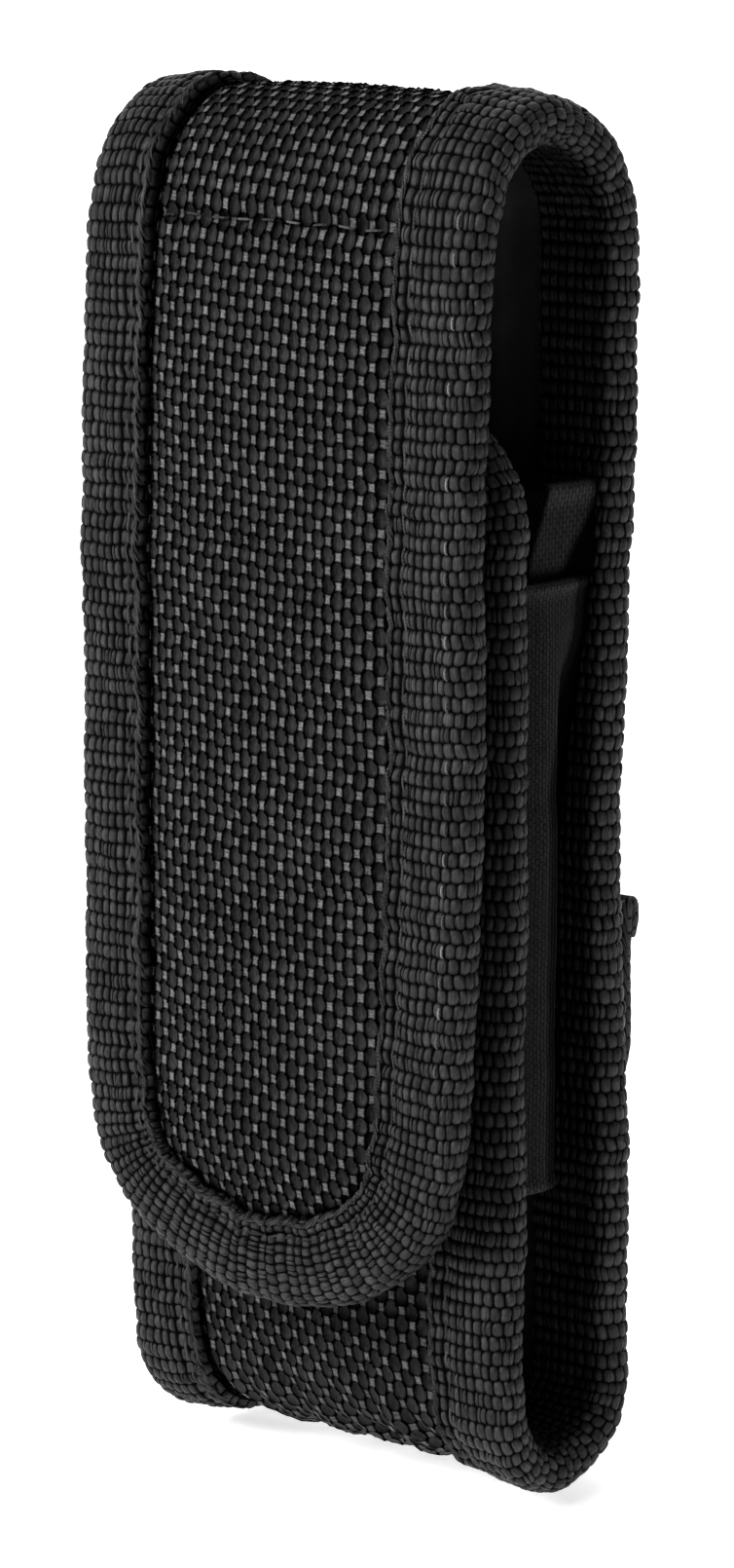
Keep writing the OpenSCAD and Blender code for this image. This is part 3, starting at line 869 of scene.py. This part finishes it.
def cloth_height(x, p, d):
    """Outward height of the padded cloth over the strip's middle plane."""
    inside = np.maximum(d - FACE + 0.3, 0)
    arch = between(p, P_ARCH - 2, P_ARCH + 6, P_BACK - 6, P_BACK + 4)
    v = CORE - 0.35 + 0.62 * (1 - np.exp(-inside / 1.6))
    v = v + (1 - 0.85 * arch) * crown(x, p, inside)
    v = v + 0.10 * wave(p + 0.4 * x, 61, 13) * (1 - np.exp(-inside / 3.0))
    v = v + 0.12 * wave(p, 62, 6.5) * np.exp(-inside / 2.5) * (inside > 0)
    v = v - (0.30 + 0.16 * wave(x, 63, 3.1)) * bell(p, FOLD_P + 0.12 * wave(x, 64, 11), 0.9)
    # creases of the gathered bottom
    low = between(p, P_BEND + 4, P_BEND + 12, P_POCKET - 6, P_POCKET + 6)
    return v + low * (0.36 * wave(x, 65, 9.5) + 0.20 * wave(x + 0.6 * p, 66, 5.0))


def weave_height(X, Y):
    """Relief of the weave: rounded warp floats over lower weft floats."""
    i = np.floor(X)
    across = 2 * (X - i) - 1
    along = np.arccos(np.clip(np.sin(PI * Y) * np.cos(PI * i), -1, 1)) / PI
    egg = np.abs(across * (WIDE - EGG * np.cos(PI * Y) * np.cos(PI * i)))
    far = egg ** ACROSS_POWER + (along / FLOAT_Y) ** ALONG_POWER
    warp = np.where(far < 1, 0.14 + 0.42 * np.sqrt(np.clip(1 - far, 0, 1)), 0)
    weft = 0.06 + 0.22 * np.sqrt(np.clip(1 - ((1 - along) / 0.45) ** 2, 0, 1)) * (1 - 0.4 * across ** 2)
    return np.maximum(warp, weft)


def panel(p0, p1, nx, dp):
    """Grid over the strip from p0 to p1, reaching a little under the tape on both sides."""
    x = np.linspace(-(HALF_W - FACE) - 1.6, HALF_W - FACE + 1.6, nx)
    p = np.linspace(p0, p1, int(round((p1 - p0) / dp)) + 1)
    pp, xx = np.meshgrid(p, x, indexing="ij")
    return xx, pp, rim_distance(xx, pp)


def cloth_piece(p0, p1, nx, dp):
    xx, pp, d = panel(p0, p1, nx, dp)
    base = strip(xx, pp, cloth_height(xx, pp, d))
    X = xx / CLOTH_X + 0.10 * wave(pp, 71, 23) + 100.0
    Y = (pp + SKEW * xx) / CLOTH_P + 0.10 * wave(xx + 0.2 * pp, 72, 12)
    X = X + BULGE * np.cos(PI * X) * np.sin(PI * Y)
    bottom = between(pp, P_BEND + 2, P_BEND + 12, P_POCKET - 4, P_POCKET + 5)
    pts = base - normals(base) * ((weave_height(X, Y) - 0.3) * (1 - 0.6 * bottom) - 0.15)[..., None]
    # painted shade beside the binding, along the stitched fold and low on the pocket
    painted_light = 0.15 + 0.85 * step(d, FACE - 0.1, FACE + 0.7)
    painted_light = painted_light * (1 - 0.35 * bell(pp, FOLD_P, 0.6)) * (1 - 0.18 * step(pp, P_LOW - 4, P_LOW + 6))
    return pts, np.stack([X, Y, painted_light], -1), d > FACE - LAP


def add_cloth(name, p0, p1, nx, dp, replaces, blend):
    ob = grid_object(name, *cloth_piece(p0, p1, nx, dp), flip=True)
    finish_piece(ob, CLOTH, blend, replaces)


add_cloth("cloth_flap", TIP + 5, P_TOP, 150, 0.21, ["flap_outer", "flap_foam"], FLAP_BLEND)
add_cloth("cloth_back", P_TOP, P_LOW, 110, 0.30, ["arch_outer", "arch_foam", "back_outer", "back_foam"],
          BACK_BLEND)
add_cloth("cloth_pocket", P_LOW, P_MOUTH - 5, 130, 0.25, ["pocket_outer", "pocket_foam"], POCKET_BLEND)


def fold_seam():
    """Row of stitches across the upper fold of the flap."""
    out = []
    s = np.linspace(-0.5, 0.5, 8)
    for k, x in enumerate(np.arange(-12.4, 12.5, 2.95)):
        xs = x + 2.2 * s
        lift = 0.30 - 0.75 * np.abs(2 * s) ** 4
        p = FOLD_P + 0.12 * wave(xs, 64, 11) + 0.25 * (hash01(k, 12) - 0.5) + 0.12 * s * (-1) ** k
        d = rim_distance(xs, p)
        out.append(strip(xs, p, cloth_height(xs, p, d) + lift + 0.05))
    return out


add_lines("fold_seam", fold_seam(), 0.12, THREAD, FLAP_BLEND, ["fold_stitches"])


# ---- lining
def add_lining(name, p0, p1, replaces, blend):
    xx, pp, d = panel(p0, p1, 48, 0.7)
    inside = np.maximum(d - FACE + 0.3, 0)
    ripple = 0.12 * wave(pp + 0.7 * xx, 81, 8) + 0.07 * wave(xx, 82, 5)
    v = -CORE + 0.1 - 0.35 * (1 - np.exp(-inside / 3.0)) + ripple
    ob = grid_object(name, strip(xx, pp, v), np.stack([xx, pp, 0 * xx + 1], -1), d > FACE - LAP)
    finish_piece(ob, LINING, blend, replaces)


add_lining("lining_flap", TIP + 5, P_TOP, ["flap_lining"], FLAP_BLEND)
add_lining("lining_back", P_TOP, P_LOW, ["arch_lining", "back_lining"], BACK_BLEND)
add_lining("lining_pocket", P_LOW, P_MOUTH - 5, ["pocket_lining"], POCKET_BLEND)


# ---- flat bands
def band(name, path, c0, c1, t, place, pitch, relief, painted_light=None, fine=0.3, swell=None, seed=0,
         sink=None):
    """Closed band of thickness t along a 2-D path, from c0 to c1 across it, with rounded edges and ends."""
    q = smoothed(resample(resample(np.array(path, float), FINE), fine), 6)
    n2 = sideways(np.gradient(q, axis=0))
    s = lengths(q)
    m = max(8, int((c1 - c0) / fine))
    h = t / 2
    turn = np.linspace(PI / 2, -PI / 2, 7)
    cc = np.concatenate([np.linspace(c0 + h, c1 - h, m), c1 - h + h * np.cos(turn[1:-1]),
                         np.linspace(c1 - h, c0 + h, m), c0 + h - h * np.cos(turn[1:-1])])
    nn = np.concatenate([np.full(m, h), h * np.sin(turn[1:-1]), np.full(m, -h), -h * np.sin(turn[1:-1])])
    cc, nn = np.append(cc, cc[0]), np.append(nn, nn[0])
    side = np.sign(nn)[None]
    end = np.minimum(s, s[-1] - s)
    thin = np.sqrt(np.clip(1 - (1 - np.clip(end / h, 0.02, 1)) ** 2, 0, 1))[:, None]
    S, C = np.broadcast_arrays(s[:, None], cc[None])
    off = nn[None] * thin
    if swell is not None:
        off = off + side * swell(S, C) * thin
    X, Y = S / pitch[0], C / pitch[1]
    fold = (1 - step(np.abs(nn) / h, 0.6, 0.99))[None]
    off = off + side * relief(X, Y) * thin * (1 - 0.8 * fold)
    off = off + 0.10 * wave(S + 0.5 * C, 90 + seed, 17) + 0.06 * wave(C, 91 + seed, 9)
    if sink is not None:
        off = off + sink(S, C)
    a = q[:, :1] + n2[:, :1] * off
    b = q[:, 1:] + n2[:, 1:] * off
    # painted light values from the given function; even where none is given
    shade = np.ones_like(X) if painted_light is None else painted_light(S, C)
    ob = grid_object(name, place(a, b, C), np.stack([X, Y, shade], -1))
    set_wrap(ob, 2 * fold + 0 * S)
    return ob


def cords(X, _):
    return 0.05 * (1 - np.abs(2 * (X - np.floor(X)) - 1) ** 2)


def webbing(X, Y):
    fr, fc = X - np.floor(X), Y - np.floor(Y)
    return 0.16 * (1 - np.abs(2 * fr - 1) ** 2.4) + 0.06 * (1 - np.abs(2 * fc - 1) ** 3)


def beside(side):
    """Places a band upright on one side of the sheath."""
    return lambda a, b, c: np.stack([side * b, a, c], -1)


def behind(a, b, c):
    """Places a band upright behind the sheath's back."""
    return np.stack([c, a, b], -1)


GY0, GY1 = Y_POCKET + RIM + 0.1, Y_BACK - RIM - 0.1     # the elastic runs between the two bindings
GUSSET_TOP, FACING_TOP = gusset_high[2], facing_high[2]
G = gusset_high[0]


def crease(S, C):
    """How far the fold of the elastic is drawn in: open at the top, deeper below."""
    return -4.2 * step(GUSSET_TOP - C, 2, 24) * step(S, 4.3, 6.6) * (1 - 0.35 * step(S, 8, 11))


def gusset_painted_light(S, C):
    """Painted shade in the fold, painted highlight along the hems."""
    reach = 7.2 - 3.8 * step(GUSSET_TOP - C, 4, 20)
    low = 1 - 0.80 * step(S, reach - 0.5, reach + 0.4) - 0.13 * step(S, reach + 1.2, reach + 2.2)
    hem_highlight = bell(C, GUSSET_TOP - 0.4, 0.7) + bell(C, gusset_low[2] + 0.4, 0.6)
    return low * (0.42 + 0.4 * hem_highlight)


def facing_painted_light(S, C):
    """Painted light: lit only on a strip between the two bindings, above the gusset, with a painted highlight
    along its top.
    """
    left = 5.4 - 2.4 * step(FACING_TOP - C, 0, 9)
    low = 0.03 + 0.97 * step(S, left - 0.5, left + 0.3)
    right = 10.0 - 3.6 * step(FACING_TOP - C, 1, 9)
    low = low * (1 - 0.95 * step(S, right, right + 1.4))
    low = low * (1 - 0.97 * step(GUSSET_TOP + 0.8 - C, 0, 2.5))
    return low * (0.6 + 0.5 * bell(C, FACING_TOP - 0.7, 1.2))


def gusset_roll(_, C):
    return 0.22 * bell(C, GUSSET_TOP - 0.6, 0.7) + 0.15 * bell(C, gusset_low[2] + 0.6, 0.6)


def facing_roll(_, C):
    return 0.30 * bell(C, FACING_TOP - 0.8, 1.0)


def facing_crease(S, C):
    return crease(S, C) - 0.7 * step(GUSSET_TOP + 1.5 - C, 0, 4)


for side, hand in ((1, "right"), (-1, "left")):
    path = [(GY0, G + 0.3), (GY0 + 2.4, G + 1.0), (GY0 + 5.6, G + 1.1), (GY0 + 8.4, G + 0.7),
            (GY0 + 10.0, G - 0.2), (GY1 + 1.4, G - 1.8)]
    gusset = band("gusset_band_" + hand, path, gusset_low[2], GUSSET_TOP, 0.9, beside(side), (0.42, 0.62),
                  cords, gusset_painted_light, 0.28, gusset_roll, side, crease)
    path = [(GY0, G - 1.7), (GY0 + 3.4, G - 0.8), (GY0 + 6.4, G - 0.5), (GY0 + 9.0, G - 0.1),
            (GY1, G + 0.1)]
    facing = band("facing_band_" + hand, path, facing_low[2], FACING_TOP, 0.8, beside(side), (0.42, 0.9),
                  cords, facing_painted_light, 0.28, facing_roll, side + 4, facing_crease)
    for ob, node in ((gusset, "gusset_"), (facing, "facing_")):
        finish_piece(ob, ELASTIC, SQUEEZE_BLEND, [node + hand])

# ---- belt strap and closing tab
strap_low, strap_high = box_mm("belt_strap")
sewn_low, _ = box_mm("strap_stitches")
base_low, base_high = box_mm("tab_base")
tab_low, tab_high = box_mm("belt_tab")
_, hook_high = box_mm("tab_hook_patch")
WEB = base_high[1] - base_low[1]        # thickness of the webbing
FLAT = base_low[1]                      # the face of the back that it is sewn to
NEAR = FLAT + WEB / 2
OUT = strap_high[1]
TAB_OUT = hook_high[1] + WEB
tab_mid = TAB_OUT - WEB / 2


def add_band(name, path, c0, c1, body, node, fine=0.3):
    ob = band(name, path, c0, c1, WEB - 0.25, behind, (1.45, 1.15), webbing, fine=fine)
    finish_piece(ob, WEBBING, body, [node])


sew = sewn_low[2] - 1.4
add_band("belt_strap_web", [(NEAR, strap_high[2]), (NEAR, sew + 0.3), (NEAR + 0.7, sew - 1.6),
                            (OUT - WEB / 2 - 0.7, sew - 4.6), (OUT - WEB / 2, sew - 7.0),
                            (OUT - WEB / 2, strap_low[2])],
         strap_low[0], strap_high[0], "back", "belt_strap")
add_band("tab_base_web", [(NEAR, base_low[2]), (NEAR, base_high[2])],
         base_low[0], base_high[0], "back", "tab_base")
z0, z1 = tab_low[2], tab_high[2]
add_band("belt_tab_web", [(NEAR, z0), (NEAR + 0.5, z0 + 1.0), (tab_mid - 0.8, z0 + 5.0), (tab_mid, z0 + 7.2),
                          (tab_mid, z1 - 1.5), (tab_mid + 0.3, z1 - 0.7), (tab_mid + 0.9, z1 - 0.7),
                          (tab_mid + 1.2, z1 - 1.5), (tab_mid + 1.1, z1 - 2.8), (tab_mid + 0.6, z1 - 4.2)],
         tab_low[0], tab_high[0], "tab", "belt_tab", fine=0.26)

# ---- hook and loop patches
GROUND = 0.55       # thickness of a patch's woven ground
ROW_Z, ROW_X = 1.5, 1.25    # spacing of the hooks
LOOPS = 1.5         # loops on each square millimetre


def small_weave(X, Y):
    return 0.02 * np.sin(2 * PI * X) * np.sin(2 * PI * Y)


def patch(name, node, out, kind, body, seed):
    """Woven ground of a hook or loop patch with its hooks or loops, facing along out in Y."""
    low, high = box_mm(node)
    r = np.random.default_rng(seed)
    y_base = low[1] if out > 0 else high[1]
    y_face = y_base + out * GROUND
    mid = y_base + out * GROUND / 2
    ground = band(name + "_ground", [(mid, low[2]), (mid, high[2])], low[0], high[0], GROUND - 0.08, behind,
                  (0.5, 0.5), small_weave, fine=0.6, seed=seed)
    finish_piece(ground, LINING, body, [node])
    tall = abs((high[1] if out > 0 else low[1]) - y_face)
    lines = []
    if kind == "hook_tape":
        a = np.linspace(0, 1, 7)
        bend = np.where(a < 0.55, 0, (a - 0.55) / 0.45)
        up = tall * (np.minimum(a, 0.62) / 0.62 - 0.45 * np.maximum(bend - 0.35, 0)) - 0.1
        for z in np.arange(low[2] + 1.0, high[2] - 0.7, ROW_Z):
            turn = 1 if int(round(z / ROW_Z)) % 2 else -1
            for x in np.arange(low[0] + 1.0, high[0] - 0.9, ROW_X):
                x = np.full(7, x + r.uniform(-0.08, 0.08))
                lines.append(np.stack([x, y_face + out * up, z + turn * 0.55 * bend], 1))
        add_lines(name + "_hooks", lines, 0.11, HOOKS, body, sides=5)
    else:
        a = np.linspace(0, PI, 6)
        for _ in range(int((high[0] - low[0]) * (high[2] - low[2]) * LOOPS)):
            x, z = r.uniform(low[0] + 0.6, high[0] - 0.6), r.uniform(low[2] + 0.6, high[2] - 0.6)
            ang, wide = r.uniform(0, PI), r.uniform(0.35, 0.75)
            y = y_face + out * (np.sin(a) * tall * r.uniform(0.6, 1.0) - 0.08)
            lift = np.sin(a) * r.uniform(-0.4, 0.4)
            lines.append(np.stack([x + np.cos(a) * wide * np.cos(ang), y,
                                   z + np.cos(a) * wide * np.sin(ang) + lift], 1))
        add_lines(name + "_loops", lines, 0.06, PILE, body, sides=4)


patch("flap_hooks", "flap_hook_patch", 1, "hook_tape", "flap", 1)
patch("pocket_pile", "pocket_loop_patch", -1, "loop_pile", "pocket", 2)
patch("strap_pile", "strap_loop_patch", 1, "loop_pile", "back", 3)
patch("tab_hooks", "tab_hook_patch", -1, "hook_tape", "tab", 4)


# ---- stitches on the webbing
STITCH_PITCH, STITCH = 3.4, 2.4


def dashes(points, y):
    """Stitches along straight lines in the X-Z plane, standing on a face at y."""
    lines = []
    s = np.linspace(-0.5, 0.5, 7)
    yy = y + 0.22 - 0.55 * np.abs(2 * s) ** 4
    for (x0, z0), (x1, z1) in points:
        length = math.hypot(x1 - x0, z1 - z0)
        n = max(1, int(length / STITCH_PITCH))
        for k in range(n):
            f = (k + 0.5) / n + STITCH * s / length
            lines.append(np.stack([x0 + (x1 - x0) * f, yy, z0 + (z1 - z0) * f], 1))
    return lines


def box_stitch(z0, z1):
    """The four sides of a sewn box and the cross in it."""
    a, b, c, d = (-half, z0), (-half, z1), (half, z0), (half, z1)
    return [(a, b), (c, d), (a, c), (b, d), (a, d), (b, c)]


half = strap_high[0] - 2
hem = tab_high[2] - 3.2
for name, points, y, body, node in (
    ("strap_box", box_stitch(sew + 1.4, strap_high[2] - 1.4), FLAT + WEB + 0.02, "back", "strap_stitches"),
    ("tab_box", box_stitch(base_low[2] + 1.4, base_high[2] - 1.6), FLAT + WEB + 0.02, "back",
     "tab_base_stitches"),
    ("tab_hem", [((-half, hem), (half, hem))], TAB_OUT + 1.02, "tab", "tab_hem_stitches"),
):
    add_lines(name, dashes(points, y), 0.2, THREAD, body, [node])

# ---- camera, light and floor
AZIMUTH, ELEVATION, DISTANCE, LENS = 38.84, 11.3, 512.2, 126.1
TARGET = (-1.33, -1.45, 64.83)


def aimed(name, data, place, ahead):
    """Adds a camera or light at a place, looking ahead."""
    ob = linked(name, data)
    ob.location = place
    ob.rotation_mode = "QUATERNION"
    ob.rotation_quaternion = ahead.to_track_quat("-Z", "Y")
    return ob


def camera():
    a, e = math.radians(AZIMUTH), math.radians(ELEVATION)
    back = Vector((math.sin(a) * math.cos(e), -math.cos(a) * math.cos(e), math.sin(e)))
    data = bpy.data.cameras.new("camera")
    data.lens, data.sensor_width = LENS, 36.0
    data.clip_start, data.clip_end = 0.01, 20
    place = (Vector(TARGET) + back * DISTANCE) * 0.001
    bpy.context.scene.camera = aimed("camera", data, place, -back)


def area_light(name, place, aim, size, power):
    data = bpy.data.lights.new(name, "AREA")
    data.shape, data.size, data.energy = "DISK", size, power
    aimed(name, data, Vector(place), Vector(aim) - Vector(place))


def sweep():
    """Pale floor that curves up into a wall far behind."""
    n = Nodes("pale_sweep")
    n.surface((0.93, 0.93, 0.93, 1), 0.8)
    n.bsdf.inputs["Specular IOR Level"].default_value = 0.1
    n.bsdf.inputs["Emission Color"].default_value = (1, 1, 1, 1)
    n.bsdf.inputs["Emission Strength"].default_value = 0.53
    curve = [(-1.6, 0.0), (1.2, 0.0)] + [(1.2 + 0.8 * math.sin(a), 0.8 - 0.8 * math.cos(a))
                                         for a in np.linspace(0.1, PI / 2, 12)] + [(2.0, 2.4)]
    a = math.radians(AZIMUTH)
    si, co = math.sin(a), math.cos(a)
    verts = [(co * wide - si * along, co * along + si * wide, z)
             for along, z in curve for wide in (-1.7, 1.7)]
    faces = [(2 * k, 2 * k + 1, 2 * k + 3, 2 * k + 2) for k in range(len(curve) - 1)]
    me = bpy.data.meshes.new("sweep")
    me.from_pydata(verts, [], faces)
    me.shade_smooth()
    ob = linked("sweep", me)
    ob.location = (0, 0, -0.0008)
    me.materials.append(n.mat)


camera()
sweep()
area_light("key", (-0.55, -0.90, 0.62), (0, 0, 0.06), 0.45, 24)
area_light("side", (0.95, -0.30, 0.30), (0, 0, 0.06), 0.5, 0.9)
area_light("top", (0.10, 0.10, 1.0), (0, 0, 0.08), 0.6, 3.2)
area_light("wall", (-0.9, 0.7, 1.6), (-1.1, 1.9, 0.9), 0.8, 30)
world = bpy.data.worlds.new("world")
world.use_nodes = True
sky = world.node_tree.nodes["Background"].inputs
sky[0].default_value = (1, 1, 1, 1)
sky[1].default_value = 0.21
bpy.context.scene.world = world
bpy.context.scene.view_settings.view_transform = "Standard"
